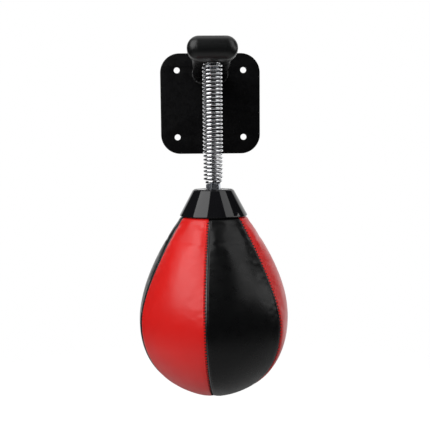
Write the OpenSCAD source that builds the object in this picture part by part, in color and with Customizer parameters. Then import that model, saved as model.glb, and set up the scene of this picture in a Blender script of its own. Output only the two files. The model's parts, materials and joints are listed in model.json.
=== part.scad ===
// Wall-mounted spring ball: a padded teardrop ball hangs from a wall arm on an open coil spring.
// Origin: centre of the wall plate's back face. +Z is up, +X is to the right, and the arm
// projects along -Y, away from the wall.

/* [Wall plate] */
// Width and height of the square plate
plate_size = 150; // [140:1:170]
// Thickness of the plate
plate_t = 4; // [3:0.5:6]
// Corner radius of the plate
plate_corner_r = 29; // [20:1:36]
// Spacing of the four wall screw holes, each way
hole_spacing = 100; // [90:1:104]
// Diameter of the wall screw holes
hole_d = 9; // [6:0.5:10]

/* [Arm] */
// Height of the arm's axis above the plate's centre
arm_z = 44; // [40:1:50]
// Width of the flat-oval tube
arm_w = 50; // [46:1:54]
// Height of the flat-oval tube
arm_h = 25; // [24:0.5:26]
// Wall thickness of the tube
arm_wall = 2; // [1.5:0.1:2.5]
// Distance from the wall to the tube's open end
arm_reach = 214; // [212:1:220]
// Leg length of the weld bead round the tube's root
weld_leg = 3.5; // [2:0.5:4]

/* [Arm end cap] */
// Outer width of the cap
cap_w = 60; // [58:0.5:62]
// Outer height of the cap
cap_h = 28.5; // [28:0.5:30]
// Length of the cap along the arm
cap_len = 22; // [16:1:22]
// Thickness of the cap's front wall
cap_front_t = 6; // [4:0.5:8]
// Radius of the cap's rounded front edge
cap_edge_r = 8; // [4:0.5:10]

/* [Spring] */
// Distance from the wall to the spring's axis
spring_y = 185; // [183:0.5:186]
// Height of the spring between the arm and the ball's bolt
spring_h = 146; // [140:1:155]
// Mean radius of the open coils
coil_r = 10.85; // [10.5:0.05:11.5]
// Mean radius of the reduced coil at the arm
top_coil_r = 8.2; // [8:0.1:9]
// Mean radius of the reduced coil at the ball
bottom_coil_r = 7.8; // [7.5:0.1:9]
// Diameter of the spring wire
wire_d = 2.8; // [2.4:0.1:3]
// Number of turns in the whole spring
spring_turns = 32; // [28:0.25:34]
// Turns in each stretch that bends
bend_turns = 2.9; // [2.5:0.1:3]
// Turns in each stretch that lengthens
stretch_turns = 2.7; // [2.2:0.1:2.8]

/* [Ball cup] */
// Height of the conical cup
cup_h = 32.6; // [30:0.2:36]
// Outer radius at the cup's top
cup_top_r = 24.3; // [22:0.1:26]
// Outer radius at the cup's rim
cup_rim_r = 41.4; // [41:0.1:43]
// Thickness of the cup's top wall
cup_top_t = 4; // [3:0.5:5]
// Thickness of the cup's sloping wall
cup_wall = 3; // [2.5:0.1:3.5]

/* [Ball bolt] */
// Turn of the hex head about the spring's axis
head_turn = 15.5; // [0:0.5:59.5]

/* [Cover] */
// Radius of the cover's mouth
mouth_r = 40; // [39.5:0.1:41]
// Slope of the cover's flank at the mouth, from vertical
flank_angle = 28.5; // [26:0.5:34]
// Greatest radius of the cover
ball_r = 91; // [85:0.5:100]
// Height from the cover's mouth down to its widest ring
shoulder_drop = 123.5; // [110:0.5:130]
// Height from the cover's mouth down to its lowest point
ball_h = 223; // [200:1:240]
// Thickness of the cover's padded leather
cover_t = 2.2; // [1.5:0.1:2.5]
// Turn of the front seam from the middle of the front
seam_turn = -7; // [-30:0.5:30]

/* [Hidden] */

// Colours
metal_black = [0.04, 0.04, 0.045];
rubber_black = [0.09, 0.09, 0.1];
chrome_grey = [0.78, 0.79, 0.81];
zinc_grey = [0.62, 0.65, 0.7];
plastic_black = [0.05, 0.05, 0.055];
leather_red = [0.78, 0.1, 0.09];
leather_black = [0.07, 0.07, 0.07];
latex_tan = [0.72, 0.55, 0.35];

// Clearance round a bolt in its own nut, and between close-fitting parts
fit_gap = 0.05;

// Arm and fasteners of the M8 hanger bolt
arm_bottom = arm_z - arm_h / 2;
hanger_d = 8;
hanger_hole_d = 8.5;
hanger_head_r = 7;
hanger_head_h = 4.4;
hanger_washer_t = 1.6;
hanger_lock_t = 2;
hanger_nut_h = 6.5;
hanger_nut_flats = 13;
clamp_washer_r = 8.25;
clamp_gap = 0.2;
clamp_top = arm_bottom - wire_d - clamp_gap;
clamp_bottom = clamp_top - hanger_washer_t;
tube_floor = arm_bottom + arm_wall;

// Spring: one wire path, cut into stretches that bend, lengthen or twist
wire_sides = 6;
steps_per_turn = 16;
fixed_turns = 2;
top_ease = 0.8;
bottom_ease = 1;
bottom_taper = 1.5;
wire_top = arm_bottom - wire_d / 2;
coil_pitch = (spring_h - wire_d) / (spring_turns - top_ease / 2 - bottom_ease / 2);
cut_gap = 0.004;
group_turns = 2 * bend_turns + stretch_turns;
cuts = [0,
    for (group = [0:2])
        for (turns = [bend_turns, 2 * bend_turns, group_turns])
            fixed_turns + group * group_turns + turns,
    spring_turns];

// Cup, and the M10 ball bolt that holds it to the spring
head_top = arm_bottom - spring_h;
ball_bolt_d = 10;
ball_bolt_flats = 16;
ball_head_h = 6.4;
nub_r = 3;
cup_top = head_top - ball_head_h;
cup_rim = cup_top - cup_h;
cup_bore_d = 10.4;
ball_washer_t = 2;
ball_washer_r = 10;
ball_lock_t = 2.2;
ball_nut_h = 8.4;
thread_r = 32;
thread_h = 9.5;
edge_chamfer = 0.5;

// Cover outline: two cubic curves from the mouth to the widest ring and on to the lowest point
cover_top = cup_rim - 0.5;
curve_steps = 12;
tip_r = 2;
widest_z = cover_top - shoulder_drop;
lowest_z = cover_top - ball_h;
flank_curve = [[mouth_r, cover_top],
    [mouth_r + 20 * sin(flank_angle), cover_top - 20 * cos(flank_angle)],
    [ball_r, widest_z + 55],
    [ball_r, widest_z]];
bowl_curve = [[ball_r, widest_z], [ball_r, widest_z - 81], [17, lowest_z], [0, lowest_z]];
seam_gap = 0.3;

// Ring in the cover's mouth
ring_flange_r = 37.2;
ring_flange_t = 2.5;
ring_bore_r = 27;

// Bladder and its needle valve
bladder_offset = 3.2;
bladder_wall = 1.6;
bladder_top = cover_top - 4;
bladder_flat_r = 30;
valve_step = 5;
valve_turn = seam_turn + 210;
valve_hole_d = 6.2;
valve_stem_r = 3;
valve_collar_r = 4;

// Smooth rise from 0 to 1
function rise(u) = u <= 0 ? 0 : u >= 1 ? 1 : u * u * (3 - 2 * u);

// Turns gained after t turns when the pitch eases in from zero over the given turns
function eased_turns(t, ease) =
    t >= ease ? t - ease / 2 : ease * (pow(t / ease, 3) - pow(t / ease, 4) / 2);

// Height and radius of the wire's centre, t turns down from the top
function wire_z(t) = t <= spring_turns / 2
    ? wire_top - coil_pitch * eased_turns(t, top_ease)
    : head_top + wire_d / 2 + coil_pitch * eased_turns(spring_turns - t, bottom_ease);
function wire_r(t) =
    top_coil_r + (coil_r - top_coil_r) * rise(t)
    - (coil_r - bottom_coil_r) * rise(1 - (spring_turns - t) / bottom_taper);
function wire_point(t, across, up) = let (turn = -360 * t, r = wire_r(t) + across)
    [r * cos(turn), r * sin(turn) - spring_y, wire_z(t) + up];

// Cubic curve through its first and last points
function bezier(p, u) = pow(1 - u, 3) * p[0] + 3 * pow(1 - u, 2) * u * p[1]
    + 3 * (1 - u) * u * u * p[2] + pow(u, 3) * p[3];
function bezier_slope(p, u) = 3 * pow(1 - u, 2) * (p[1] - p[0])
    + 6 * (1 - u) * u * (p[2] - p[1]) + 3 * u * u * (p[3] - p[2]);

// Point of a curve moved inwards by d, square to the curve
function inset(p, u, d) = let (s = bezier_slope(p, u), n = norm(s))
    bezier(p, u) + d * [s[1], -s[0]] / n;

// Outline of the cover at depth d below its surface, from the mouth down to the tip
function cover_outline(d) = [
    for (i = [0:curve_steps]) inset(flank_curve, i / curve_steps, d),
    for (i = [1:curve_steps - 1]) inset(bowl_curve, i / curve_steps, d)];
function reversed(list) = [for (i = [len(list) - 1:-1:0]) list[i]];

// The part of an outline that lies below a height
function below(list, z) = [for (p = list) if (p[1] < z) p];

module obround(w, h) {
    square([w - h, h], center = true);
    for (side = [-1, 1])
        translate([side * (w - h) / 2, 0])
            circle(d = h, $fn = 96);
}

// Extrudes a shape drawn in X and Z along -Y, starting at distance y from the wall
module outward(y, length) {
    translate([0, -y, arm_z])
        rotate([90, 0, 0])
            linear_extrude(height = length)
                children();
}

module rounded_square(size, r) {
    square([size, size - 2 * r], center = true);
    square([size - 2 * r, size], center = true);
    for (x = [-1, 1], y = [-1, 1])
        translate([x, y] * (size / 2 - r))
            circle(r = r, $fn = 96);
}

module wall_plate() {
    color(metal_black)
        rotate([90, 0, 0])
            linear_extrude(height = plate_t)
                difference() {
                    rounded_square(plate_size, plate_corner_r);
                    for (x = [-1, 1], y = [-1, 1])
                        translate([x, y] * hole_spacing / 2)
                            circle(d = hole_d, $fn = 64);
                }
}

module arm_tube() {
    color(metal_black)
        difference() {
            outward(plate_t, arm_reach - plate_t)
                difference() {
                    obround(arm_w, arm_h);
                    obround(arm_w - 2 * arm_wall, arm_h - 2 * arm_wall);
                }
            translate([0, -spring_y, arm_bottom - 1])
                cylinder(d = hanger_hole_d, h = arm_wall + 2, $fn = 48);
        }
}

// A fillet of triangular section that runs round the tube against the plate
module arm_weld_bead() {
    flat = arm_w - arm_h;
    color(metal_black)
        translate([0, -plate_t, arm_z])
            rotate([90, 0, 0]) {
                for (side = [-1, 1]) {
                    translate([side * flat / 2, 0, 0])
                        rotate([0, 0, side * 90 - 180])
                            rotate_extrude(angle = 180, $fn = 96)
                                translate([arm_h / 2, 0])
                                    weld_section();
                    mirror([0, side < 0 ? 1 : 0, 0])
                        translate([flat / 2, arm_h / 2, 0])
                            rotate([90, 0, -90])
                                linear_extrude(height = flat)
                                    mirror([1, 0])
                                        weld_section();
                }
            }
}

module weld_section() {
    polygon([[0, 0], [weld_leg, 0], [0, weld_leg]]);
}

// Half of the cap's section, from its axis out to its rim, with a rounded front edge
module cap_section() {
    half = cap_h / 2;
    square([half, cap_len - cap_edge_r]);
    square([half - cap_edge_r, cap_len]);
    translate([half - cap_edge_r, cap_len - cap_edge_r])
        intersection() {
            circle(r = cap_edge_r, $fn = 96);
            square(cap_edge_r);
        }
}

module arm_end_cap() {
    flat = cap_w - cap_h;
    cavity = arm_reach + fit_gap;
    front = cavity + cap_front_t;
    color(rubber_black)
        difference() {
            translate([0, cap_len - front, arm_z])
                rotate([90, 0, 0]) {
                    for (side = [-1, 1])
                        translate([side * flat / 2, 0, 0])
                            rotate([0, 0, side * 90 - 180])
                                rotate_extrude(angle = 180, $fn = 96)
                                    cap_section();
                    for (side = [0, 1])
                        mirror([0, side, 0])
                            translate([flat / 2, 0, 0])
                                rotate([90, 0, -90])
                                    linear_extrude(height = flat)
                                        mirror([1, 0])
                                            cap_section();
                }
            outward(front - cap_len - 1, cap_len - cap_front_t + 1)
                obround(arm_w + 2 * fit_gap, arm_h + 2 * fit_gap);
        }
}

// A ring about the spring's axis
module ring(outer_r, inner_d, bottom, height) {
    translate([0, -spring_y, bottom])
        difference() {
            cylinder(r = outer_r, h = height, $fn = 64);
            translate([0, 0, -1])
                cylinder(d = inner_d, h = height + 2, $fn = 64);
        }
}

// A split spring washer with a gap in its ring
module split_ring(inner_r, bar, bottom, height) {
    translate([0, -spring_y, bottom])
        rotate_extrude(angle = 345, $fn = 64)
            translate([inner_r, 0])
                square([bar, height]);
}

module hex_nut(flats, bore_d, bottom, height) {
    translate([0, -spring_y, bottom])
        difference() {
            cylinder(d = flats / cos(30), h = height, $fn = 6);
            translate([0, 0, -1])
                cylinder(d = bore_d, h = height + 2, $fn = 48);
        }
}

// Round-headed bolt: its head lies inside the spring and its shank rises into the tube
module hanger_bolt() {
    stack = tube_floor + hanger_washer_t + hanger_lock_t + hanger_nut_h + 2;
    bore = hanger_d / 2;
    color(zinc_grey)
        translate([0, -spring_y, clamp_bottom - hanger_head_h])
            rotate_extrude($fn = 64)
                polygon([[0, 0], [4, 0], [6, 1.2], [hanger_head_r, 3.2],
                    [hanger_head_r, hanger_head_h], [bore, hanger_head_h],
                    [bore, stack - clamp_bottom + hanger_head_h - 1],
                    [bore - 1, stack - clamp_bottom + hanger_head_h],
                    [0, stack - clamp_bottom + hanger_head_h]]);
}

module hanger_clamp_washer() {
    color(zinc_grey)
        ring(clamp_washer_r, hanger_d + 0.4, clamp_bottom, hanger_washer_t);
}

module hanger_washer() {
    color(zinc_grey)
        ring(8, hanger_d + 0.4, tube_floor, hanger_washer_t);
}

module hanger_lock_washer() {
    color(zinc_grey)
        split_ring(hanger_d / 2 + 0.1, 2.5, tube_floor + hanger_washer_t, hanger_lock_t);
}

module hanger_nut() {
    color(zinc_grey)
        hex_nut(hanger_nut_flats, hanger_d + 2 * fit_gap,
            tube_floor + hanger_washer_t + hanger_lock_t, hanger_nut_h);
}

// One stretch of the wire, swept with a ring of corners at each step
module spring_coils(i) {
    first = cuts[i - 1] + cut_gap;
    last = cuts[i] - cut_gap;
    rings = ceil((last - first) * steps_per_turn);
    corners = [
        for (k = [0:rings])
            for (s = [0:wire_sides - 1])
                let (turn = 360 * s / wire_sides)
                wire_point(first + (last - first) * k / rings,
                    wire_d / 2 * cos(turn), wire_d / 2 * sin(turn))];
    sides = [
        for (k = [0:rings - 1])
            for (s = [0:wire_sides - 1])
                let (a = k * wire_sides + s, b = k * wire_sides + (s + 1) % wire_sides)
                [a, a + wire_sides, b + wire_sides, b]];
    first_end = [for (s = [0:wire_sides - 1]) s];
    last_end = [for (s = [wire_sides - 1:-1:0]) rings * wire_sides + s];
    color(chrome_grey)
        polyhedron(points = corners, faces = concat(sides, [first_end, last_end]), convexity = 10);
}

// Hex bolt: its head is the neck under the spring, with a small round nub in the last coil
module ball_bolt() {
    shank = cup_top_t + ball_washer_t + ball_lock_t + ball_nut_h + 2.5;
    color(zinc_grey)
        translate([0, -spring_y, cup_top]) {
            rotate([0, 0, head_turn])
                cylinder(d = ball_bolt_flats / cos(30), h = ball_head_h, $fn = 6);
            translate([0, 0, -shank])
                cylinder(d = ball_bolt_d, h = shank, $fn = 48);
            translate([0, 0, ball_head_h])
                rotate_extrude($fn = 48)
                    polygon([[0, -1], [nub_r, -1], [nub_r, 1.6], [nub_r - 0.8, 3], [0, 3.5]]);
        }
}

module ball_washer() {
    color(zinc_grey)
        ring(ball_washer_r, ball_bolt_d + 0.5, cup_top - cup_top_t - ball_washer_t, ball_washer_t);
}

module ball_lock_washer() {
    color(zinc_grey)
        split_ring(ball_bolt_d / 2 + 0.1, 3,
            cup_top - cup_top_t - ball_washer_t - ball_lock_t, ball_lock_t);
}

module ball_nut() {
    color(zinc_grey)
        hex_nut(ball_bolt_flats, ball_bolt_d + 2 * fit_gap,
            cup_top - cup_top_t - ball_washer_t - ball_lock_t - ball_nut_h, ball_nut_h);
}

// Conical shell with a bored top and a threaded mouth
module ball_cup() {
    slope = (cup_rim_r - cup_top_r) / cup_h;
    color(plastic_black)
        translate([0, -spring_y, cup_rim])
            rotate_extrude($fn = 128)
                polygon([[cup_bore_d / 2, cup_h],
                    [cup_top_r - edge_chamfer, cup_h],
                    [cup_top_r, cup_h - edge_chamfer],
                    [cup_rim_r, edge_chamfer],
                    [cup_rim_r - edge_chamfer, 0],
                    [thread_r, 0],
                    [thread_r, thread_h],
                    [cup_top_r + slope * cup_top_t - cup_wall, cup_h - cup_top_t],
                    [cup_bore_d / 2, cup_h - cup_top_t]]);
}

// Ring sewn into the cover's mouth, which screws up into the cup
module cover_ring() {
    color(plastic_black)
        translate([0, -spring_y, cup_rim - 0.3 - ring_flange_t])
            rotate_extrude($fn = 96)
                polygon([[ring_bore_r, 0], [ring_flange_r, 0], [ring_flange_r, ring_flange_t],
                    [thread_r - fit_gap, ring_flange_t],
                    [thread_r - fit_gap, ring_flange_t + thread_h - 1.5],
                    [ring_bore_r, ring_flange_t + thread_h - 1.5]]);
}

// One sixth of the cover, panel 0 being the first to the left of the front seam
module cover_gore(i) {
    outer = concat(cover_outline(0), [[tip_r, lowest_z]]);
    inner = concat(cover_outline(cover_t), [[tip_r, lowest_z + cover_t]]);
    translate([0, -spring_y, 0])
        rotate([0, 0, seam_turn - 150 + 60 * i + seam_gap / 2])
            rotate_extrude(angle = 60 - seam_gap, $fn = 128)
                polygon(concat(outer, reversed(inner)));
}

module cover_panel(i, tint) {
    color(tint)
        cover_gore(i);
}

module pierced_cover_panel(i, tint) {
    color(tint)
        difference() {
            cover_gore(i);
            at_valve(-10)
                cylinder(d = valve_hole_d, h = 20, $fn = 48);
        }
}

// Places children on the valve's axis, with +Z outwards, from the given depth
module at_valve(depth) {
    u = valve_step / curve_steps;
    place = bezier(flank_curve, u);
    slope = bezier_slope(flank_curve, u);
    translate([0, -spring_y, 0])
        rotate([0, 0, valve_turn - 90])
            translate([place[0], 0, place[1]])
                rotate([0, 90 + atan2(-slope[0], -slope[1]), 0])
                    translate([0, 0, depth])
                        children();
}

module bladder() {
    outer = concat([[0, bladder_top], [bladder_flat_r, bladder_top]],
        below(cover_outline(bladder_offset), bladder_top - 2),
        [[0, lowest_z + bladder_offset]]);
    inset_by = bladder_offset + bladder_wall;
    inner = concat([[0, bladder_top - bladder_wall], [bladder_flat_r, bladder_top - bladder_wall]],
        below(cover_outline(inset_by), bladder_top - bladder_wall - 2),
        [[0, lowest_z + inset_by]]);
    color(latex_tan)
        difference() {
            translate([0, -spring_y, 0])
                rotate_extrude($fn = 96)
                    polygon(outer);
            translate([0, -spring_y, 0])
                rotate_extrude($fn = 96)
                    polygon(inner);
            at_valve(-12)
                cylinder(r = valve_collar_r + fit_gap, h = 20, $fn = 48);
        }
}

// Rubber plug with a needle channel: a stem in the cover, a collar in the bladder, a flange inside
module bladder_valve() {
    needle_r = 0.6;
    color(rubber_black)
        at_valve(0)
            rotate_extrude($fn = 48)
                polygon([[needle_r, -0.4], [valve_stem_r, -0.4], [valve_stem_r, -2.7],
                    [valve_collar_r, -2.7], [valve_collar_r, -5.4], [7, -5.4], [7, -7.4],
                    [valve_collar_r, -7.4], [valve_collar_r - 0.5, -12],
                    [needle_r, -12]]);
}

wall_plate();
arm_tube();
arm_weld_bead();
arm_end_cap();
hanger_bolt();
hanger_clamp_washer();
hanger_washer();
hanger_lock_washer();
hanger_nut();
spring_coils(1);  // spring_coils_1
spring_coils(2);  // spring_coils_2
spring_coils(3);  // spring_coils_3
spring_coils(4);  // spring_coils_4
spring_coils(5);  // spring_coils_5
spring_coils(6);  // spring_coils_6
spring_coils(7);  // spring_coils_7
spring_coils(8);  // spring_coils_8
spring_coils(9);  // spring_coils_9
spring_coils(10);  // spring_coils_10
ball_bolt();
ball_washer();
ball_lock_washer();
ball_nut();
ball_cup();
cover_ring();
cover_panel(0, leather_red);  // cover_panel_front_left_red
cover_panel(1, leather_black);  // cover_panel_front_right_black
cover_panel(2, leather_red);  // cover_panel_right_red
cover_panel(3, leather_black);  // cover_panel_rear_right_black
pierced_cover_panel(4, leather_red);  // cover_panel_rear_left_red
cover_panel(5, leather_black);  // cover_panel_left_black
bladder();
bladder_valve();
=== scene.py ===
"""Wall-mounted spring speed ball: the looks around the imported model, in metres, in the model's own frame."""

import json
import math

import bmesh
import bpy
import numpy as np
from mathutils import Matrix, Vector
from mathutils.kdtree import KDTree


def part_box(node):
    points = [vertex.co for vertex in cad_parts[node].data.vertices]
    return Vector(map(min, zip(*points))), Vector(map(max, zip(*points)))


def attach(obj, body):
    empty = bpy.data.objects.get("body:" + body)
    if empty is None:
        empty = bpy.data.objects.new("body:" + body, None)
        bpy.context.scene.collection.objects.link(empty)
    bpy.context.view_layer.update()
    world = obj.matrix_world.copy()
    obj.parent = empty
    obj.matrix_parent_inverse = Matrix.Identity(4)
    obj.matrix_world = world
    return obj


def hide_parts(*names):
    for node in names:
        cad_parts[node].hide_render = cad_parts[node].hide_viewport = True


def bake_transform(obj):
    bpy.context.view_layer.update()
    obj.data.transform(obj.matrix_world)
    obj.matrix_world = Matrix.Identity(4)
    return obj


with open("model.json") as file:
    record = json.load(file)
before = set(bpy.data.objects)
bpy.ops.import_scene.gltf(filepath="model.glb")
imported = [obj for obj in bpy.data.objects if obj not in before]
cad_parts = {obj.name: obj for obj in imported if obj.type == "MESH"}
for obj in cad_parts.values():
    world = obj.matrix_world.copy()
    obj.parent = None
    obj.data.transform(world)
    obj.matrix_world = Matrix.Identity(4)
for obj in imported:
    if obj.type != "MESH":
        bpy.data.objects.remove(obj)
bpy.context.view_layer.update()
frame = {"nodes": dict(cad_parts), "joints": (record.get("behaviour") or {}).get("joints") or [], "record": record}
scene = bpy.context.scene
MM = 0.001


# ---------------------------------------------------------------- camera, light and floor

def make_camera():
    """The photo's viewpoint: a little above the cup, just left of the middle and looking slightly down."""
    tilt_down, turn_right, roll = 5.0, 1.22, -0.5
    data = bpy.data.cameras.new("camera")
    data.lens = 50
    data.sensor_width = 36
    camera = bpy.data.objects.new("camera", data)
    camera.location = (-0.0138, -0.9173, -0.0889)
    turned = Matrix.Rotation(math.radians(-turn_right), 4, "Z")
    tilted = Matrix.Rotation(math.radians(90 - tilt_down), 4, "X")
    rolled = Matrix.Rotation(math.radians(roll), 4, "Z")
    camera.rotation_euler = (turned @ tilted @ rolled).to_euler()
    scene.collection.objects.link(camera)
    scene.camera = camera


def make_softbox(name, azimuth, elevation, distance, size, radiance, roll=0, glossy=True):
    """A rectangular light aimed at the top of the ball, at an azimuth (0 is the front) and elevation."""
    target = Vector((axis_x, axis_y, -0.15))
    data = bpy.data.lights.new(name, "AREA")
    data.shape = "RECTANGLE"
    data.size, data.size_y = size
    data.energy = radiance * math.pi * size[0] * size[1]
    light = bpy.data.objects.new(name, data)
    a, e = math.radians(azimuth), math.radians(elevation)
    towards = Vector((math.sin(a) * math.cos(e), -math.cos(a) * math.cos(e), math.sin(e)))
    light.location = target + towards * distance
    facing = towards.to_track_quat("Z", "Y").to_matrix().to_4x4()
    light.rotation_euler = (facing @ Matrix.Rotation(math.radians(roll), 4, "Z")).to_euler()
    light.visible_glossy = glossy
    scene.collection.objects.link(light)


def make_floor():
    """A pale floor below the ball, with painted light that makes it lighter at its two sides and painted shade
    that makes it darker towards the wall, that fades out towards its rim.
    """
    spokes, radius, height = 96, 1.5, -0.72
    build = bmesh.new()
    bmesh.ops.create_circle(build, cap_ends=True, radius=radius, segments=spokes)
    mesh = bpy.data.meshes.new("floor")
    build.to_mesh(mesh)
    build.free()
    floor = bpy.data.objects.new("floor", mesh)
    floor.location = (axis_x, axis_y, height)
    scene.collection.objects.link(floor)
    material, tree = new_material("pale_floor")
    smooth = {"interpolation_type": "SMOOTHSTEP"}
    place = add(tree, "TexCoord").outputs["Object"]
    parts = add(tree, "SeparateXYZ", Vector=place)
    away = add(tree, "VectorMath", {"operation": "LENGTH"}, i0=place).outputs["Value"]
    fade = add(tree, "MapRange", smooth, Value=away, From_Min=0.55, From_Max=1.4).outputs[0]
    speckle = add(tree, "TexNoise", Vector=place, Scale=60, Detail=3).outputs[0]
    tone = add(tree, "MapRange", Value=speckle, To_Min=0.39, To_Max=0.43).outputs[0]
    # Painted light and shade on the floor: lighter at the two sides away from the front, darker towards the wall
    sideways = add(tree, "Math", {"operation": "ABSOLUTE"}, i0=parts.outputs["X"]).outputs[0]
    beside = add(tree, "MapRange", smooth, Value=sideways, From_Min=0.08, From_Max=0.25).outputs[0]
    painted_side_light = add(tree, "MapRange", smooth, Value=parts.outputs["Y"], From_Min=-0.3, From_Max=-0.1,
                    To_Max=0.12).outputs[0]
    behind = add(tree, "MapRange", smooth, Value=parts.outputs["Y"], From_Min=0.15, From_Max=0.4,
                 To_Max=0.12).outputs[0]
    tone = add(tree, "Math", {"operation": "MULTIPLY_ADD"}, i0=beside, i1=painted_side_light, i2=tone).outputs[0]
    tone = add(tree, "Math", {"operation": "SUBTRACT"}, i0=tone, i1=behind).outputs[0]
    paper = add(tree, "BsdfDiffuse", Color=add(tree, "CombineColor", i0=tone, i1=tone, i2=tone).outputs[0])
    seen = add(tree, "LightPath").outputs["Is Camera Ray"]
    lift = add(tree, "Math", {"operation": "MULTIPLY"}, i0=seen, i1=0.85).outputs[0]
    glow = add(tree, "Emission", Strength=lift)
    lit = add(tree, "AddShader", i0=paper.outputs[0], i1=glow.outputs[0])
    clear = add(tree, "BsdfTransparent")
    mix = add(tree, "MixShader", i0=fade, i1=lit.outputs[0], i2=clear.outputs[0])
    add(tree, "OutputMaterial", Surface=mix.outputs[0])
    mesh.materials.append(material)


def make_world():
    """A dark studio with a white backdrop behind the object that rolls over into a soft ceiling."""
    world = bpy.data.worlds.new("studio")
    scene.world = world
    world.use_nodes = True
    tree = world.node_tree
    tree.nodes.clear()
    smooth = {"interpolation_type": "SMOOTHSTEP"}
    direction = add(tree, "TexCoord").outputs["Generated"]
    parts = add(tree, "SeparateXYZ", Vector=direction)
    depth = add(tree, "Math", {"operation": "MAXIMUM"}, i0=parts.outputs["Y"], i1=0.001).outputs[0]
    spread = add(tree, "Math", {"operation": "DIVIDE"}, i0=parts.outputs["X"], i1=depth).outputs[0]
    from_left = add(tree, "MapRange", smooth, Value=spread, From_Min=-0.8, From_Max=-0.6).outputs[0]
    to_right = add(tree, "MapRange", smooth, Value=spread, From_Min=1.5, From_Max=1.1).outputs[0]
    behind = add(tree, "MapRange", smooth, Value=parts.outputs["Y"], From_Min=0, From_Max=0.12).outputs[0]
    between = add(tree, "Math", {"operation": "MULTIPLY"}, i0=from_left, i1=to_right).outputs[0]
    between = add(tree, "Math", {"operation": "MULTIPLY"}, i0=between, i1=behind).outputs[0]
    backdrop = add(tree, "MapRange", Value=between, To_Min=0.02, To_Max=0.95).outputs[0]
    height = add(tree, "Math", {"operation": "MULTIPLY_ADD"}, i0=parts.outputs["Y"], i1=0.35,
                 i2=parts.outputs["Z"]).outputs[0]
    overhead = add(tree, "MapRange", smooth, Value=height, From_Min=0.78, From_Max=1.02).outputs[0]
    level = add(tree, "Math", {"operation": "MAXIMUM"}, i0=backdrop, i1=overhead).outputs[0]
    seen = add(tree, "LightPath").outputs["Is Camera Ray"]
    level = add(tree, "Math", {"operation": "MAXIMUM"}, i0=level, i1=seen).outputs[0]
    light = add(tree, "Background", Color=(1, 1, 1, 1), Strength=level)
    add(tree, "OutputWorld", Surface=light.outputs[0])


# ---------------------------------------------------------------- materials

def add(tree, kind, props=None, **inputs):
    """Adds a shader node. An input named i0, i1 ... goes by number, any other by its name."""
    node = tree.nodes.new("ShaderNode" + kind)
    for name, value in (props or {}).items():
        setattr(node, name, value)
    for name, value in inputs.items():
        key = int(name[1:]) if name[0] == "i" and name[1:].isdigit() else name.replace("_", " ")
        if isinstance(value, bpy.types.NodeSocket):
            tree.links.new(value, node.inputs[key])
        else:
            node.inputs[key].default_value = value
    return node


def new_material(name):
    """An empty node material and its tree."""
    material = bpy.data.materials.new(name)
    material.use_nodes = True
    material.node_tree.nodes.clear()
    return material, material.node_tree


def surface(name, color, roughness, metallic=0.0, tone=(40, 0.1), patches=(60, 0.06), bumps=(),
            specular=0.5, coat=0.0, sheen=0.0, edge_wear=None, seam_gloss=None, inside=None):
    """A procedural finish: base colour with tone variation, patchy roughness and layered bumps.

    tone and patches are (cells per metre, amount); each bump is (kind, cells per metre, height in metres).
    edge_wear is (colour, radius, amount) for the lighter metal that shows at worn edges. seam_gloss is the
    specular level beside a seam, and the last argument is a darker colour painted as shade on the side of a
    wire that faces the spring's axis.
    """
    material, tree = new_material(name)
    place = add(tree, "TexCoord").outputs["Object"]
    cloud = add(tree, "TexNoise", Vector=place, Scale=tone[0], Detail=4).outputs[0]
    shade = add(tree, "MapRange", Value=cloud, From_Min=0.3, From_Max=0.7,
                To_Min=1 - tone[1], To_Max=1 + tone[1]).outputs[0]
    if seam_gloss:
        near = add(tree, "Attribute", {"attribute_name": "seam"}).outputs["Fac"]
        specular = add(tree, "MapRange", Value=near, To_Min=specular, To_Max=seam_gloss).outputs[0]
    tint = add(tree, "VectorMath", {"operation": "SCALE"}, i0=color, Scale=shade).outputs[0]
    # Painted shade: the wire's chrome is darker on the side that faces the spring's axis
    if inside:
        painted_shade_mask = add(tree, "Attribute", {"attribute_name": "inside"}).outputs["Fac"]
        tint = add(tree, "Mix", {"data_type": "VECTOR"}, i0=painted_shade_mask, i4=tint, i5=inside).outputs[1]
    normal = add(tree, "NewGeometry").outputs["Normal"]
    for kind, scale, height in bumps:
        if kind == "grain":
            level = add(tree, "TexVoronoi", {"feature": "SMOOTH_F1"}, Vector=place, Scale=scale,
                        Smoothness=0.4).outputs["Distance"]
        else:
            level = add(tree, "TexNoise", Vector=place, Scale=scale, Detail=3).outputs[0]
        normal = add(tree, "Bump", Strength=1.0, Distance=height, Height=level, Normal=normal).outputs[0]
    spots = add(tree, "TexNoise", Vector=place, Scale=patches[0], Detail=5).outputs[0]
    rough = add(tree, "MapRange", Value=spots, From_Min=0.3, From_Max=0.7,
                To_Min=max(0.02, roughness - patches[1]), To_Max=roughness + patches[1]).outputs[0]
    if edge_wear:
        worn, radius, amount = edge_wear
        rounded = add(tree, "Bevel", Radius=radius).outputs[0]
        flat = add(tree, "NewGeometry").outputs["Normal"]
        bend = add(tree, "VectorMath", {"operation": "DOT_PRODUCT"}, i0=rounded, i1=flat).outputs["Value"]
        edge = add(tree, "MapRange", Value=bend, From_Min=1, From_Max=0.85, To_Max=amount).outputs[0]
        fleck = add(tree, "MapRange", Value=spots, From_Min=0.42, From_Max=0.6).outputs[0]
        edge = add(tree, "Math", {"operation": "MULTIPLY"}, i0=edge, i1=fleck).outputs[0]
        tint = add(tree, "Mix", {"data_type": "VECTOR"}, i0=edge, i4=tint, i5=worn).outputs[1]
    skin = add(tree, "BsdfPrincipled", Base_Color=tint, Roughness=rough, Metallic=metallic, Normal=normal,
               Specular_IOR_Level=specular, Coat_Weight=coat, Coat_Roughness=0.05,
               Sheen_Weight=sheen, Sheen_Roughness=0.4)
    add(tree, "OutputMaterial", Surface=skin.outputs[0])
    return material


LEATHER_BUMPS = [("noise", 30, 0.0003), ("grain", 1100, 0.00003), ("noise", 2600, 0.00001)]


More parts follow.
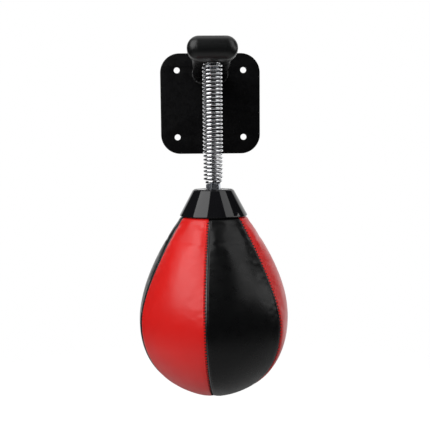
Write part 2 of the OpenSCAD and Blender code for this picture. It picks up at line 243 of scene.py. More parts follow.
def make_materials():
    """Every finish by its short name. None of them shares a name with the record's own slots."""
    return {
        "powder": surface("powder_coat_finish", (0.004, 0.004, 0.0043), 0.28, tone=(90, 0.2),
                          patches=(140, 0.05), specular=0.12,
                          bumps=[("noise", 900, 0.00003), ("noise", 60, 0.0001)],
                          edge_wear=((0.05, 0.05, 0.055), 0.0012, 0.5)),
        "bead": surface("weld_coat_finish", (0.004, 0.004, 0.0043), 0.2, tone=(200, 0.2),
                        patches=(400, 0.05), bumps=[("noise", 1200, 0.00002)], specular=0.5),
        "rubber": surface("cap_rubber_finish", (0.004, 0.0043, 0.0045), 0.34, tone=(60, 0.1),
                          patches=(900, 0.02), bumps=[("noise", 2500, 0.000003), ("noise", 40, 0.00004)],
                          specular=0.5),
        # The chrome's darker colour on the side facing the spring's axis is painted shade
        "chrome": surface("spring_chrome_finish", (0.93, 0.94, 0.96), 0.05, metallic=1.0, tone=(150, 0.04),
                          patches=(300, 0.02), bumps=[("noise", 1800, 0.000004)],
                          inside=(0.36, 0.36, 0.38)),
        "zinc": surface("zinc_plate_finish", (0.6, 0.64, 0.7), 0.32, metallic=1.0, tone=(400, 0.15),
                        patches=(700, 0.07), bumps=[("noise", 2500, 0.000012)],
                        edge_wear=((0.75, 0.76, 0.78), 0.0005, 0.7)),
        "plastic": surface("cup_plastic_finish", (0.006, 0.006, 0.007), 0.06, tone=(60, 0.1),
                           patches=(350, 0.02), bumps=[("noise", 35, 0.00005), ("noise", 700, 0.000005)],
                           specular=0.5),
        "dull_plastic": surface("ring_plastic_finish", (0.03, 0.03, 0.03), 0.5,
                                bumps=[("noise", 1500, 0.00003)]),
        "red": surface("red_leather_finish", (0.72, 0.014, 0.012), 0.34, tone=(14, 0.05),
                       patches=(90, 0.05), bumps=LEATHER_BUMPS, specular=0.5, seam_gloss=0.2),
        "black": surface("black_leather_finish", (0.0035, 0.0037, 0.0039), 0.3, tone=(14, 0.15),
                         patches=(90, 0.05), bumps=LEATHER_BUMPS, specular=0.25, seam_gloss=0.9),
        "thread": surface("seam_thread_finish", (0.006, 0.004, 0.004), 0.7, tone=(900, 0.3),
                          bumps=[("noise", 5000, 0.00004)], sheen=0.2),
        "latex": surface("bladder_latex_finish", (0.55, 0.36, 0.18), 0.5, bumps=[("noise", 300, 0.0001)]),
        "valve": surface("valve_rubber_finish", (0.02, 0.02, 0.02), 0.55, bumps=[("noise", 1500, 0.00003)]),
    }


# ---------------------------------------------------------------- mesh helpers

def make_object(name, points, faces, material, sharp=35):
    """A new object from points and faces."""
    mesh = bpy.data.meshes.new(name)
    mesh.from_pydata([tuple(p) for p in points], [], faces)
    return finish_mesh(name, mesh, material, sharp)


def finish_mesh(name, mesh, material, sharp=35):
    """Joins doubled points, turns every face outwards and smooths all but the sharp edges."""
    build = bmesh.new()
    build.from_mesh(mesh)
    bmesh.ops.remove_doubles(build, verts=build.verts, dist=1e-6)
    bmesh.ops.dissolve_degenerate(build, edges=build.edges, dist=1e-7)
    bmesh.ops.recalc_face_normals(build, faces=build.faces)
    build.to_mesh(mesh)
    build.free()
    for polygon in mesh.polygons:
        polygon.use_smooth = True
    mesh.set_sharp_from_angle(angle=math.radians(sharp))
    mesh.materials.clear()
    mesh.materials.append(material)
    obj = bpy.data.objects.new(name, mesh)
    scene.collection.objects.link(obj)
    return obj


def skin(rings, cap_first=True, cap_last=True, loop=False):
    """Points and faces of a surface through closed rings of equal length."""
    count, n = len(rings), len(rings[0])
    points = [p for ring in rings for p in ring]
    faces = []
    for k in range(count if loop else count - 1):
        a, b = k * n, (k + 1) % count * n
        faces += [(a + i, a + (i + 1) % n, b + (i + 1) % n, b + i) for i in range(n)]
    if not loop and cap_first:
        faces.append(tuple(range(n))[::-1])
    if not loop and cap_last:
        faces.append(tuple(range((count - 1) * n, count * n)))
    return points, faces


def revolve(profile, axis_x, axis_y, sides=128):
    """Rings of a surface of revolution from (radius, z) points."""
    turns = [2 * math.pi * i / sides for i in range(sides)]
    return [[(axis_x + r * math.cos(a), axis_y + r * math.sin(a), z) for a in turns] for r, z in profile]


def arc(centre, radius, start, end, steps):
    """Points on an arc in a plane, with angles in degrees."""
    return [(centre[0] + radius * math.cos(math.radians(start + (end - start) * i / steps)),
             centre[1] + radius * math.sin(math.radians(start + (end - start) * i / steps)))
            for i in range(steps + 1)]


def obround(width, height, per_end=28, per_side=10):
    """Closed outline of a flat oval in a plane, anticlockwise from its lower right."""
    half, r = (width - height) / 2, height / 2
    right = arc((half, 0), r, -90, 90, per_end)
    left = arc((-half, 0), r, 90, 270, per_end)
    top = [(half - 2 * half * i / per_side, r) for i in range(1, per_side)]
    bottom = [(-half + 2 * half * i / per_side, -r) for i in range(1, per_side)]
    return right + top + left + bottom


def smoothstep(u):
    """Eases from 0 to 1 as u goes from 0 to 1."""
    u = np.clip(u, 0, 1)
    return u * u * (3 - 2 * u)


# ---------------------------------------------------------------- sizes read from the frame

plate_low, plate_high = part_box("wall_plate")
tube_low, tube_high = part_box("arm_tube")
cap_low, cap_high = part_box("arm_end_cap")
weld_low, weld_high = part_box("arm_weld_bead")
bolt_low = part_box("ball_bolt")[0]
cup_low, cup_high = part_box("ball_cup")
joints = {j["name"]: j for j in frame["joints"]}
mounts = {m["name"]: m for m in frame["record"]["mounts"]}

plate_face = plate_low.y
arm_z = (tube_low.z + tube_high.z) / 2
arm_w, arm_h = tube_high.x - tube_low.x, tube_high.z - tube_low.z
arm_bottom = tube_low.z
axis_x, axis_y = joints["bend_fore_aft_1"]["pos_m"][:2]


# ---------------------------------------------------------------- wall plate, weld and cap

def make_plate(material):
    """A pressed square plate with rounded corners, eased edges and four screw holes."""
    size, edge, corner = plate_high.x - plate_low.x, 0.8 * MM, 29 * MM
    thick = plate_high.y - plate_low.y
    dims = mounts["wall_bolts"]["dims"]
    spacing, hole_r = dims["spacing_x_mm"] * MM, dims["hole_r_mm"] * MM
    reach = size / 2 - corner
    outline = []
    for turn, (x, z) in enumerate([(1, 1), (-1, 1), (-1, -1), (1, -1)]):
        outline += arc((x * reach, z * reach), corner, 90 * turn, 90 * turn + 90, 20)
    loops = [outline]
    for x in (-1, 1):
        for z in (-1, 1):
            loops.append(arc((x * spacing / 2, z * spacing / 2), hole_r, 0, 360, 48)[:-1])
    curve = bpy.data.curves.new("plate_outline", "CURVE")
    curve.dimensions = "2D"
    curve.fill_mode = "BOTH"
    curve.extrude = thick / 2 - edge
    curve.bevel_depth = edge
    curve.bevel_resolution = 3
    curve.offset = -edge
    for loop in loops:
        spline = curve.splines.new("POLY")
        spline.points.add(len(loop) - 1)
        for point, (x, z) in zip(spline.points, loop):
            point.co = (x, z, 0, 1)
        spline.use_cyclic_u = True
    holder = bpy.data.objects.new("plate_outline", curve)
    scene.collection.objects.link(holder)
    holder.rotation_euler = (math.radians(90), 0, 0)
    holder.location = (0, (plate_low.y + plate_high.y) / 2, 0)
    bpy.context.view_layer.update()
    shaped = holder.evaluated_get(bpy.context.evaluated_depsgraph_get())
    mesh = bpy.data.meshes.new_from_object(shaped)
    mesh.transform(holder.matrix_world)
    bpy.data.objects.remove(holder)
    plate = finish_mesh("plate_shell", mesh, material, sharp=25)
    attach(plate, "arm")
    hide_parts("wall_plate")


def make_weld(material):
    """A rippled bead laid in the corner between the tube and the plate."""
    leg = (weld_high.x - weld_low.x - arm_w) / 2
    ripples, per_ripple, bows = 60, 6, 8
    flat, r = (arm_w - arm_h) / 2, arm_h / 2
    length = 4 * flat + 2 * math.pi * r
    rng = np.random.default_rng(5)
    swell = rng.normal(0, 0.05, ripples)
    root = 0.2 * MM
    rings = []
    steps = ripples * per_ripple
    for k in range(steps):
        s = length * k / steps
        if s < 2 * flat:
            x, z, nx, nz = -flat + s, -r, 0, -1
        elif s < 2 * flat + math.pi * r:
            a = (s - 2 * flat) / r - math.pi / 2
            x, z, nx, nz = flat + r * math.cos(a), r * math.sin(a), math.cos(a), math.sin(a)
        elif s < 4 * flat + math.pi * r:
            x, z, nx, nz = flat - (s - 2 * flat - math.pi * r), r, 0, 1
        else:
            a = (s - 4 * flat - math.pi * r) / r + math.pi / 2
            x, z, nx, nz = -flat + r * math.cos(a), r * math.sin(a), math.cos(a), math.sin(a)
        phase = k % per_ripple / per_ripple
        size = leg * (0.87 + (0.09 + swell[k // per_ripple]) * math.sin(math.pi * phase))
        ring = [(x - nx * root, plate_face + root, arm_z + z - nz * root)]
        for i in range(bows + 1):
            a = math.pi / 2 * i / bows
            bow = size * (0.84 + 0.16 * math.sin(2 * a))
            out, fore = bow * math.cos(a), bow * math.sin(a)
            ring.append((x + nx * out, plate_face - fore, arm_z + z + nz * out))
        rings.append(ring)
    weld = make_object("weld_ripples", *skin(rings, loop=True), material, sharp=60)
    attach(weld, "arm")
    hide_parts("arm_weld_bead")


def make_end_cap(material):
    """A soft moulded cap with a pillowed front, a rear lip and the tube's socket behind."""
    width, height = cap_high.x - cap_low.x, cap_high.z - cap_low.z
    front, rear = cap_low.y, cap_high.y
    socket_front = tube_low.y - 0.05 * MM
    rounding, depth, end_angle = 11 * MM, 12 * MM, math.radians(78)
    inner = height / 2 - rounding
    dome = inner / 2 / math.tan(end_angle)
    lip, lip_deep, clear = 0.8 * MM, 0.35 * MM, 0.1 * MM
    rings = []

    def ring(w, h, y):
        rings.append([(x, y, arm_z + z) for x, z in obround(w, h)])

    def inset(side, top, y):
        ring(width - 2 * side, height - 2 * top, y)

    ring(arm_w + clear, arm_h + clear, socket_front)
    ring(arm_w + clear, arm_h + clear, rear - 0.4 * MM)
    ring(arm_w + 3 * clear, arm_h + 3 * clear, rear)
    for e, y in arc((lip, rear - lip), lip, 90, 270, 12)[:-1]:
        inset(e, e, y)
    inset(lip_deep, lip_deep, rear - 2 * lip)
    inset(lip_deep, lip_deep, rear - 2.6 * lip)
    inset(lip_deep / 2, lip_deep / 2, rear - 5 * lip)
    inset(0, 0, front + depth + 3 * MM)
    inset(0, 0, front + depth)
    steps = 24
    for i in range(1, steps + 1):
        a = end_angle * i / steps
        deep = math.sin(a) / math.sin(end_angle)
        side = rounding * (1 - math.cos(a)) / (1 - math.cos(end_angle))
        inset(side, side, front + dome + (depth - dome) * (1 - deep))
    for i in range(1, 11):
        ease = i / 10
        inset(rounding + inner * ease, rounding + inner * ease * 0.999, front + dome * (1 - ease) ** 2)
    cap = make_object("soft_end_cap", *skin(rings), material, sharp=50)
    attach(cap, "arm")
    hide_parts("arm_end_cap")


# ---------------------------------------------------------------- spring

WIRE_R = 1.4 * MM
COIL_R, TOP_COIL_R, BOTTOM_COIL_R = 10.85 * MM, 8.2 * MM, 7.8 * MM
TURNS, FIXED_TURNS, BEND_TURNS, STRETCH_TURNS = 32, 2, 2.9, 2.7
TOP_EASE, BOTTOM_EASE, BOTTOM_TAPER = 0.8, 1.0, 1.5
head_top = arm_bottom - 146 * MM
PITCH = (arm_bottom - head_top - 2 * WIRE_R) / (TURNS - TOP_EASE / 2 - BOTTOM_EASE / 2)


def eased_turns(t, ease):
    """Turns gained after t turns when the pitch eases in from zero."""
    return t - ease / 2 if t >= ease else ease * ((t / ease) ** 3 - (t / ease) ** 4 / 2)


def wire_z(t):
    """Height of the wire's centre after t turns from the top."""
    if t <= TURNS / 2:
        return arm_bottom - WIRE_R - PITCH * eased_turns(t, TOP_EASE)
    return head_top + WIRE_R + PITCH * eased_turns(TURNS - t, BOTTOM_EASE)


def wire_r(t):
    """Radius of the coil after t turns: reduced at both ends."""
    return (TOP_COIL_R + (COIL_R - TOP_COIL_R) * smoothstep(t)
            - (COIL_R - BOTTOM_COIL_R) * smoothstep(1 - (TURNS - t) / BOTTOM_TAPER))


def coil_cuts():
    """Turns at which one stretch of the spring ends and the next begins."""
    cuts = [0.0]
    for group in range(3):
        start = FIXED_TURNS + group * (2 * BEND_TURNS + STRETCH_TURNS)
        cuts += [start + BEND_TURNS, start + 2 * BEND_TURNS, start + 2 * BEND_TURNS + STRETCH_TURNS]
    return cuts + [TURNS]


def make_spring(material):
    """Ten stretches of one wire, one for each of the CAD spring's ten pieces."""
    sides, per_turn, margin = 18, 48, 1.0 * MM
    cuts = coil_cuts()
    for i in range(10):
        first, last = cuts[i], cuts[i + 1]
        steps = math.ceil((last - first) * per_turn)
        rings = []
        for k in range(steps + 1):
            t = first + (last - first) * k / steps
            turn, r, z = -2 * math.pi * t, wire_r(t), wire_z(t)
            end = min(t, TURNS - t) * 2 * math.pi * r
            thin = WIRE_R * (1 - 0.25 * max(0, 1 - end / (0.6 * MM)) ** 2)
            ring = []
            for s in range(sides):
                a = 2 * math.pi * s / sides
                out = r + thin * math.cos(a)
                ring.append((axis_x + out * math.cos(turn), axis_y + out * math.sin(turn),
                             z + thin * math.sin(a)))
            rings.append(ring)
        coils = make_object(f"spring_wire_{i + 1}", *skin(rings), material, sharp=50)
        # Painted shade: how far each point of the wire faces the spring's axis, where its chrome is painted darker
        inner = [max(0, min(1, 0.3 - 1.2 * math.cos(2 * math.pi * s / sides))) for s in range(sides)]
        inside = coils.data.attributes.new("inside", "FLOAT", "POINT")
        inside.data.foreach_set("value", [inner[p % sides] for p in range(len(coils.data.vertices))])
        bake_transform(coils)
        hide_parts(f"spring_coils_{i + 1}")


# ---------------------------------------------------------------- ball bolt and cup

def make_ball_bolt(material):
    """Chamfered hex head with a round nub above and a plain shank below."""
    flats, head_h, shank_r = 16 * MM, 6.4 * MM, 5 * MM
    turn0, sides = math.radians(15.5), 120
    base = cup_high.z
    collar = 0.3 * MM

    def hexed(limit, z):
        ring = []
        for i in range(sides):
            a = 2 * math.pi * i / sides + turn0
            into = (a - turn0) % (math.pi / 3) - math.pi / 6
            r = min(flats / 2 / math.cos(into), limit)
            ring.append((axis_x + r * math.cos(a), axis_y + r * math.sin(a), z))
        return ring

    corner = flats / 2 / math.cos(math.pi / 6)
    rings = revolve([(shank_r - 0.8 * MM, bolt_low.z), (shank_r, bolt_low.z + 0.8 * MM), (shank_r, base)],
                    axis_x, axis_y, sides)
    rings.append(hexed(flats / 2 - 0.4 * MM, base))
    rings.append(hexed(flats / 2 - 0.4 * MM, base + collar))
    rings.append(hexed(corner - 0.15 * MM, base + collar + 0.05 * MM))
    rings.append(hexed(corner, base + collar + 0.25 * MM))
    for i in range(9):
        drop = 1.1 * MM * (1 - i / 8) ** 1.6
        rings.append(hexed(flats / 2 - 0.3 * MM + drop * 1.5, base + head_h - drop))
    nub_r = 3 * MM
    nub = [(nub_r + 0.5 * MM, base + head_h), (nub_r, base + head_h + 0.3 * MM)]
    nub += [(x, base + head_h + y) for x, y in arc((0, 0.5 * MM), nub_r, 0, 84, 10)]
    rings += revolve(nub, axis_x, axis_y, sides)
    bolt = make_object("ball_hex_bolt", *skin(rings), material, sharp=32)
    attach(bolt, "ball")
    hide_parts("ball_bolt")


def make_cup(material):
    """The conical cup as a moulded shell with eased edges, a bore and a threaded mouth."""
    top, rim = cup_high.z, cup_low.z
    rim_r = cup_high.x - axis_x
    top_r = 24.6 * MM
    height = top - rim
    slope = math.degrees(math.atan2(rim_r - top_r, height))
    edge, round_r, wall, roof = 0.8 * MM, 2.5 * MM, 3 * MM, 4 * MM
    bore, mouth, thread = 5.2 * MM, 32 * MM, 9.5 * MM
    profile = [(bore, top - roof), (bore, top - 0.3 * MM), (bore + 0.3 * MM, top)]
    seat, sunk, lip_r, lip_w, shoulder = 10.5 * MM, 0.2 * MM, 23.8 * MM, 0.8 * MM, 0.6 * MM
    ease = 0.2 * MM
    profile += [(seat, top), (seat + 2 * ease, top - sunk), (lip_r - lip_w - 2 * ease, top - sunk),
                (lip_r - lip_w, top - sunk + ease), (lip_r - lip_w, top - ease), (lip_r - lip_w + ease, top),
                (lip_r - ease, top), (lip_r, top - ease), (lip_r, top - shoulder)]
    tilt = math.radians(slope)
    centre_z = top - shoulder - round_r * math.sin(math.radians(80))
    reach = (top_r * math.cos(tilt) - round_r - (centre_z - top) * math.sin(tilt)) / math.cos(tilt)
    profile += arc((reach, centre_z), round_r, 80, slope, 12)
    profile += [(rim_r + edge * (math.cos(tilt) - 1.05), rim + 1.4 * MM + edge * math.sin(tilt))]
    profile += arc((rim_r - edge, rim + edge), edge, 12, -90, 6)
    profile += [(mouth + 0.5 * MM, rim), (mouth, rim + 0.5 * MM), (mouth, rim + thread)]
    profile += [(top_r + roof * math.tan(math.radians(slope)) - wall, top - roof)]
    rings = revolve(profile, axis_x, axis_y, 192)
    cup = make_object("cup_shell", *skin(rings, loop=True), material, sharp=40)
    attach(cup, "ball")
    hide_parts("ball_cup")


# ---------------------------------------------------------------- cover

PANELS = ["front_left_red", "front_right_black", "right_red",
          "rear_right_black", "rear_left_red", "left_black"]
SEAM_TURN = math.radians(-7)
SEAM_TWIST = math.radians(2.5)
# Columns of points in one panel, and the distance between rows, in the cloth simulation
COLUMNS, ROW_STEP = 16, 4 * MM
# Share of the simulated creases that is kept, and the furthest that a point may move
WRINKLES, CROWN_CAP = 0.3, 5 * MM
# Distances from a seam at which the leather has points, and the black leather's height at the first 13
SEAM_STEPS = np.array([0, 0.1, 0.25, 0.6, 1.0, 1.4, 1.7, 1.9, 2.2, 2.5, 2.8, 3.2, 3.8, 4.6, 5.6]) * MM
LIP_HEIGHTS = np.array([-1.1, -0.85, -0.72, -0.56, -0.36, -0.16, -0.03,
                        0, -0.16, -0.36, -0.36, -0.12, 0]) * MM
STITCH_STEP = 3.6 * MM


def bezier(points, u):
    """A point on a cubic curve in a plane."""
    weights = ((1 - u) ** 3, 3 * (1 - u) ** 2 * u, 3 * (1 - u) * u * u, u ** 3)
    return tuple(sum(w * p[k] for w, p in zip(weights, points)) for k in (0, 1))


def cover_outline():
    """(radius, z) down the cover from its mouth to its tip, at an even step."""
    top = max(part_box("cover_panel_" + p)[1].z for p in PANELS)
    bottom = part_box("cover_panel_front_left_red")[0].z
    mouth, widest, tip, slope = 40 * MM, 91 * MM, 0.6 * MM, math.radians(28.5)
    middle = top - 123.5 * MM
    straight, shoulder, belly, flat = 20 * MM, 55 * MM, 81 * MM, 17 * MM
    flank = [(mouth, top), (mouth + straight * math.sin(slope), top - straight * math.cos(slope)),
             (widest, middle + shoulder), (widest, middle)]
    bowl = [(widest, middle), (widest, middle - belly), (flat, bottom), (tip, bottom)]
    fine = np.array([bezier(flank, u) for u in np.linspace(0, 1, 200)]
                    + [bezier(bowl, u) for u in np.linspace(0, 1, 200)[1:]])
    run = run_along(fine)
    rows = round(run[-1] / ROW_STEP)
    at = np.linspace(0, run[-1], rows + 1)
    return np.stack([np.interp(at, run, fine[:, 0]), np.interp(at, run, fine[:, 1])], axis=1)


def seam_factor(depth):
    """Seam radius over the cover's radius: pulled in on the flank, proud of it round the bowl."""
    flank = 0.012 * smoothstep(depth / 0.18)
    return 1 - flank + 0.057 * smoothstep((depth - 0.2) / 0.3) * (1 - 0.6 * smoothstep((depth - 0.5) / 0.5))


def slack_cover():
    """The cover before it is blown up: rows by columns of points, its panels a little slack."""
    outline = cover_outline()
    rows, total = len(outline), 6 * COLUMNS
    depth = np.linspace(0, 1, rows)
    seam = seam_factor(depth)
    slack = 1 - 0.016 * smoothstep(depth / 0.12)
    grid = np.zeros((rows, total, 3))
    for i in range(total):
        turn = SEAM_TURN - math.pi / 3 + math.pi / 3 * i / COLUMNS + SEAM_TWIST * (2 * depth - 1)
        crown = math.sin(math.pi * (i % COLUMNS) / COLUMNS) ** 0.8
        r = outline[:, 0] * (seam + (slack - seam) * crown)
        grid[:, i] = np.stack([axis_x + r * np.sin(turn), axis_y - r * np.cos(turn), outline[:, 1]], axis=1)
    return grid, outline


def blow_up(grid):
    """Cloth simulation: air pressure crowns each panel between its seams, which hold still."""
    rows, total = grid.shape[:2]
    points = grid.reshape(-1, 3)
    faces = []
    for j in range(rows - 1):
        for i in range(total):
            k = (i + 1) % total
            faces.append((j * total + i, (j + 1) * total + i, (j + 1) * total + k, j * total + k))
    mesh = bpy.data.meshes.new("slack_cover")
    mesh.from_pydata([tuple(p) for p in points], [], faces)
    cover = bpy.data.objects.new("slack_cover", mesh)
    scene.collection.objects.link(cover)
    held = cover.vertex_groups.new(name="held")
    seams = [j * total + i for j in range(rows) for i in range(0, total, COLUMNS)]
    ends = [j * total + i for j in (0, rows - 2, rows - 1) for i in range(total)]
    held.add(sorted(set(seams + ends)), 1.0, "REPLACE")
    cloth = cover.modifiers.new("cloth", "CLOTH")
    settings = cloth.settings
    settings.quality = 8
    settings.mass = 0.3
    settings.shrink_min = -0.014
    settings.tension_stiffness = 40
    settings.compression_stiffness = 40
    settings.shear_stiffness = 15
    settings.bending_stiffness = 8
    settings.vertex_group_mass = "held"
    settings.use_pressure = True
    settings.uniform_pressure_force = 40
    settings.effector_weights.gravity = 0
    cloth.collision_settings.use_collision = False
    for number in range(1, 21):
        scene.frame_set(number)
    shaped = cover.evaluated_get(bpy.context.evaluated_depsgraph_get())
    moved = np.array([v.co for v in shaped.data.vertices]).reshape(grid.shape)
    scene.frame_set(1)
    bpy.data.objects.remove(cover)
    return moved


def crowned_cover():
    """Rows by columns of points of the blown-up cover, its panels crowned out to the cover's real radius."""
    grid, outline = slack_cover()
    shift = blow_up(grid) - grid
    crown = smoothed(shift, 40)
    creases = WRINKLES * (shift - crown)
    middle = list(range(COLUMNS // 2, grid.shape[1], COLUMNS))
    risen = (crown[:, middle] * outwards(grid[:, middle])).sum(axis=2).mean(axis=1)
    short = outline[:, 0] - np.hypot(grid[:, middle[0], 0] - axis_x, grid[:, middle[0], 1] - axis_y)
    gain = smoothed(np.clip(short, 0.3 * MM, None), 10) / np.clip(smoothed(risen, 10), 0.2 * MM, None)
    shift = crown * np.clip(gain, 0.1, 3)[:, None, None] + creases
    far = np.linalg.norm(shift, axis=2, keepdims=True)
    return grid + shift * (CROWN_CAP * np.tanh(far / CROWN_CAP) / np.maximum(far, 1e-9)), outline


def smoothed(values, passes):
    """Evens values out along the first axis, ends held."""
    for _ in range(passes):
        values = np.concatenate([values[:1], (values[:-2] + 2 * values[1:-1] + values[2:]) / 4, values[-1:]])
    return values


def run_along(line):
    """Distance travelled along a line of points, at each of them."""
    return np.concatenate([[0], np.cumsum(np.linalg.norm(np.diff(line, axis=0), axis=1))])


def extended(grid, axis):
    """The grid with one more point at each end of an axis, in line with its last two."""
    first, second, before, last = (np.take(grid, [k], axis) for k in (0, 1, -2, -1))
    return np.concatenate([2 * first - second, grid, 2 * last - before], axis=axis)


def catmull_rom(a, b, c, d, u):
    """The point at u from b to c on a smooth curve through all four."""
    return 0.5 * (2 * b + (c - a) * u + (2 * a - 5 * b + 4 * c - d) * u * u
                  + (3 * b - a - 3 * c + d) * u ** 3)


def cubic_rows(grid, finer):
    """Refines a grid along its first axis with smooth curves."""
    wide = extended(grid, 0)
    out = [catmull_rom(*wide[j:j + 4], k / finer) for j in range(len(grid) - 1) for k in range(finer)]
    return np.array(out + [grid[-1]])


def sample_across(panel, places):
    """Points of each row of a panel at the given distances across it, from 0 to 1."""
    n = panel.shape[1] - 1
    wide = extended(panel, 1)
    k = np.minimum((places * n).astype(int), n - 1)
    u = (places * n - k)[..., None]
    rows = np.arange(len(panel))[:, None]
    return catmull_rom(*(wide[rows, k + s] for s in range(4)), u)


def seam_profile(distance, black):
    """Height of the leather beside a seam: it dives into the groove, and black leather has a rolled lip."""
    if black:
        return np.interp(distance, SEAM_STEPS[:len(LIP_HEIGHTS)], LIP_HEIGHTS)
    red_dive, red_reach = 0.85 * MM, 2.3 * MM
    return -red_dive * np.clip(1 - distance / red_reach, 0, 1) ** 1.5


def make_panel(name, panel, outline, material, black):
    """One gore of the cover as a closed leather shell with rolled seam edges."""
    finer, share_width, leather, tuck_length, tuck_depth = 4, 1.2 * MM, 2.2 * MM, 3 * MM, 2.0 * MM
    bite_depth, bite_middle, bite_width = (0.25 if black else 0.5) * MM, 0.9 * MM, 0.6 * MM
    panel = cubic_rows(panel, finer)
    radii = cubic_rows(outline, finer)[:, 0]
    width = np.linalg.norm(np.diff(panel, axis=1), axis=2).sum(axis=1)
    body = np.linspace(0, 1, 33)[1:-1]
    reach = np.minimum(SEAM_STEPS[None, :] / width[:, None],
                       0.45 * np.linspace(0, 1, len(SEAM_STEPS))[None, :])
    edge = reach[:, -1:]
    places = np.concatenate([reach, edge + (1 - 2 * edge) * body[None, :], 1 - reach[:, ::-1]], axis=1)
    points = sample_across(panel, places)
    down = np.gradient(points, axis=0)
    side = np.gradient(points, axis=1)
    normal = unit(np.cross(down, side))
    distance = np.minimum(places, 1 - places) * width[:, None]
    shared = unit(np.cross(down, np.cross(outwards(points), down)))
    share = np.clip(1 - distance / share_width, 0, 1)[..., None]
    normal = unit(normal * (1 - share) + shared * share)
    fade = np.clip(radii / (12 * MM), 0, 1)[:, None]
    run = run_along(points[:, 0])
    stitch = (0.5 - 0.5 * np.cos(2 * math.pi * run / STITCH_STEP))[:, None]
    bite = bite_depth * np.exp(-((distance - bite_middle) / bite_width) ** 2)
    height = (seam_profile(distance, black) - bite * stitch) * fade
    outer = points + normal * height[..., None]
    inner = points - normal * leather
    tuck = np.clip(1 - run / tuck_length, 0, 1)
    outer -= outwards(points) * (tuck_depth * tuck ** 2)[:, None, None]
    rings = [list(map(tuple, outer[j])) + list(map(tuple, inner[j, 1:-1][::-1])) for j in range(len(outer))]
    gore = make_object("cover_" + name, *skin(rings), material, sharp=60)
    mark_seams(gore, outer, distance)
    return gore


def unit(vectors):
    """A grid of vectors, each scaled to length 1."""
    return vectors / np.maximum(np.linalg.norm(vectors, axis=2, keepdims=True), 1e-12)


def outwards(points):
    """Level directions away from the ball's axis."""
    return unit((points - np.array([axis_x, axis_y, 0])) * [1, 1, 0])


def mark_seams(gore, outer, distance):
    """Stores how near each point is to a seam, for the shading of the leather."""
    flat, near = outer.reshape(-1, 3), distance.reshape(-1)
    tree = KDTree(len(flat))
    for i, p in enumerate(flat):
        tree.insert(p, i)
    tree.balance()
    values = [float(near[tree.find(v.co)[1]] < 2.1 * MM) for v in gore.data.vertices]
    seam = gore.data.attributes.new("seam", "FLOAT", "POINT")
    seam.data.foreach_set("value", values)


def make_stitches(name, line, inward, red_side, material):
    """Short thread bars at an even step along one seam, each reaching over the red leather's edge."""
    run = run_along(line)
    offset, reach, sunk, rise, slant, thread_r = 0.5 * MM, 1.4 * MM, 0.5 * MM, 0.2 * MM, 0.2 * MM, 0.58 * MM
    count = int((run[-1] - 8 * MM) / STITCH_STEP)
    points, faces = [], []
    for k in range(1, count):
        at = (k + 0.5) * STITCH_STEP
        centre = np.array([np.interp(at, run, line[:, c]) for c in range(3)])
        along = np.array([np.interp(at + 0.1 * MM, run, line[:, c]) for c in range(3)]) - centre
        along /= np.linalg.norm(along)
        depth = np.array([np.interp(at, run, inward[:, c]) for c in range(3)])
        depth /= np.linalg.norm(depth)
        across = np.cross(along, depth)
        rings = []
        for s in np.linspace(-1, 1, 7):
            middle = (centre + across * red_side * (offset + reach * s)
                      + depth * (sunk - rise * s) + along * s * slant)
            r = thread_r * math.sqrt(max(1 - s ** 4, 0.12))
            rings.append([tuple(middle + r * (math.cos(a) * along + math.sin(a) * depth))
                          for a in np.linspace(0, 2 * math.pi, 9)[:-1]])
        some_points, some_faces = skin(rings)
        faces += [tuple(i + len(points) for i in f) for f in some_faces]
        points += some_points
    stitches = make_object(name, points, faces, material, sharp=80)
    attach(stitches, "ball")


def make_cover(materials):
    """The bladder, the six panels round it and the stitches along their seams."""
    grid, outline = crowned_cover()
    make_bladder(grid, materials["latex"])
    for i, name in enumerate(PANELS):
        columns = [(i * COLUMNS + c) % grid.shape[1] for c in range(COLUMNS + 1)]
        black = name.endswith("black")
        gore = make_panel(name, grid[:, columns], outline, materials["black" if black else "red"],
                          black)
        if name == "rear_left_red":
            cut_valve_hole(gore)
        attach(gore, "ball")
        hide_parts("cover_panel_" + name)
        line = cubic_rows(grid[:, i * COLUMNS], 3)
        centre = np.array([axis_x, axis_y, 0]) + line * [0, 0, 1]
        inward = centre - line
        inward[:, 2] += np.interp(np.arange(len(line)), [0, len(line) - 1], [-0.02, 0.06])
        make_stitches("seam_stitches_" + name, line, inward, -1 if black else 1, materials["thread"])


def make_bladder(grid, material):
    """The inflated bladder just within the cover, pressed into its seams."""
    gap, wall = 2.9 * MM, 1.2 * MM
    low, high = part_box("bladder")
    centre = np.array([axis_x, axis_y, 0])
    rows = np.array([row for row in grid if low.z + 3 * MM < row[0, 2] < high.z - 1.5 * MM])
    down = np.gradient(rows, axis=0)
    normal = unit(np.cross(down, np.roll(rows, -1, axis=1) - np.roll(rows, 1, axis=1)))
    outer, inner = rows - normal * gap, rows - normal * (gap + wall)
    crown_share, crown_rise, hollow_share, hollow_rise = 0.75, 2.4 * MM, 0.7, 1.5 * MM
    crown = centre + (outer[0] - centre) * [crown_share, crown_share, 0]
    crown += [0, 0, outer[0, 0, 2] + crown_rise]
    hollow = centre + (inner[0] - centre) * [hollow_share, hollow_share, 0]
    hollow += [0, 0, inner[0, 0, 2] + hollow_rise]
    rings = [hollow] + list(inner) + list(outer)[::-1] + [crown]
    count = len(inner) + 1
    tops = [list(map(tuple, ring)) for ring in rings]
    points, faces = skin(tops[:count], cap_first=True, cap_last=True)
    more, extra = skin(tops[count:], cap_first=True, cap_last=True)
    faces = [f[::-1] for f in faces] + [tuple(i + len(points) for i in f) for f in extra]
    skinned = make_object("bladder_skin", points + more, faces, material)
    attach(skinned, "ball")
    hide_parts("bladder")


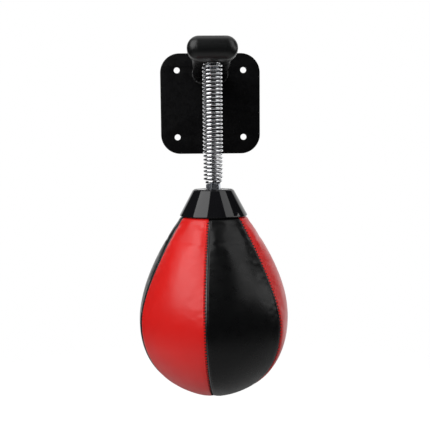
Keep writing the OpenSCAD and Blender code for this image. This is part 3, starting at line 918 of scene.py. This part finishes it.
def cut_valve_hole(gore):
    """Opens the panel round the bladder's valve."""
    low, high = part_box("bladder_valve")
    centre = (low + high) / 2
    away = Vector((centre.x - axis_x, centre.y - axis_y, 0)).normalized()
    stem = valve_axis(away)
    hole_r, length = 3.15 * MM, 30 * MM
    cutter_mesh = bpy.data.meshes.new("valve_cutter")
    build = bmesh.new()
    bmesh.ops.create_cone(build, cap_ends=True, segments=48, radius1=hole_r, radius2=hole_r, depth=length)
    build.to_mesh(cutter_mesh)
    build.free()
    cutter = bpy.data.objects.new("valve_cutter", cutter_mesh)
    scene.collection.objects.link(cutter)
    cutter.location = centre
    cutter.rotation_euler = stem.to_track_quat("Z", "Y").to_euler()
    bpy.context.view_layer.update()
    cut = gore.modifiers.new("hole", "BOOLEAN")
    cut.operation = "DIFFERENCE"
    cut.solver = "EXACT"
    cut.object = cutter
    shaped = gore.evaluated_get(bpy.context.evaluated_depsgraph_get())
    mesh = bpy.data.meshes.new_from_object(shaped)
    gore.modifiers.clear()
    gore.data = mesh
    mesh.set_sharp_from_angle(angle=math.radians(60))
    bpy.data.objects.remove(cutter)


def valve_axis(away):
    """Direction of the valve's axis: square to the cover's flank where the valve sits."""
    outline = cover_outline()
    low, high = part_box("bladder_valve")
    z = (low.z + high.z) / 2
    j = int(np.argmin(abs(outline[:, 1] - z)))
    dr, dz = outline[j + 1] - outline[j - 1]
    return (away * -dz + Vector((0, 0, 1)) * dr).normalized()


# ---------------------------------------------------------------- the rest of the CAD nodes

def dress_frame(materials):
    """Finishes for the CAD nodes that are shown as they are."""
    looks = {"arm_tube": "powder", "cover_ring": "dull_plastic", "bladder_valve": "valve"}
    for plated in ("hanger_bolt", "hanger_clamp_washer", "hanger_washer", "hanger_lock_washer", "hanger_nut",
                   "ball_washer", "ball_lock_washer", "ball_nut"):
        looks[plated] = "zinc"
    for node, look in looks.items():
        obj = frame["nodes"][node]
        obj.data.materials.clear()
        obj.data.materials.append(materials[look])


# ---------------------------------------------------------------- the scene

scene.view_settings.view_transform = "Standard"
make_camera()
make_softbox("left_softbox", -53, 35, 1.6, (1.4, 1.6), 2.7, roll=14)
make_softbox("right_softbox", 62, 37, 1.6, (0.83, 1.5), 1.6, roll=-8)
make_softbox("low_right_card", 86, 11, 1.6, (0.8, 0.5), 1.9)
make_softbox("front_fill", -15, 25, 2.2, (1.2, 1.2), 4.0, glossy=False)
make_world()
make_floor()
materials = make_materials()
make_plate(materials["powder"])
make_weld(materials["bead"])
make_end_cap(materials["rubber"])
make_spring(materials["chrome"])
make_ball_bolt(materials["zinc"])
make_cup(materials["plastic"])
make_cover(materials)
dress_frame(materials)
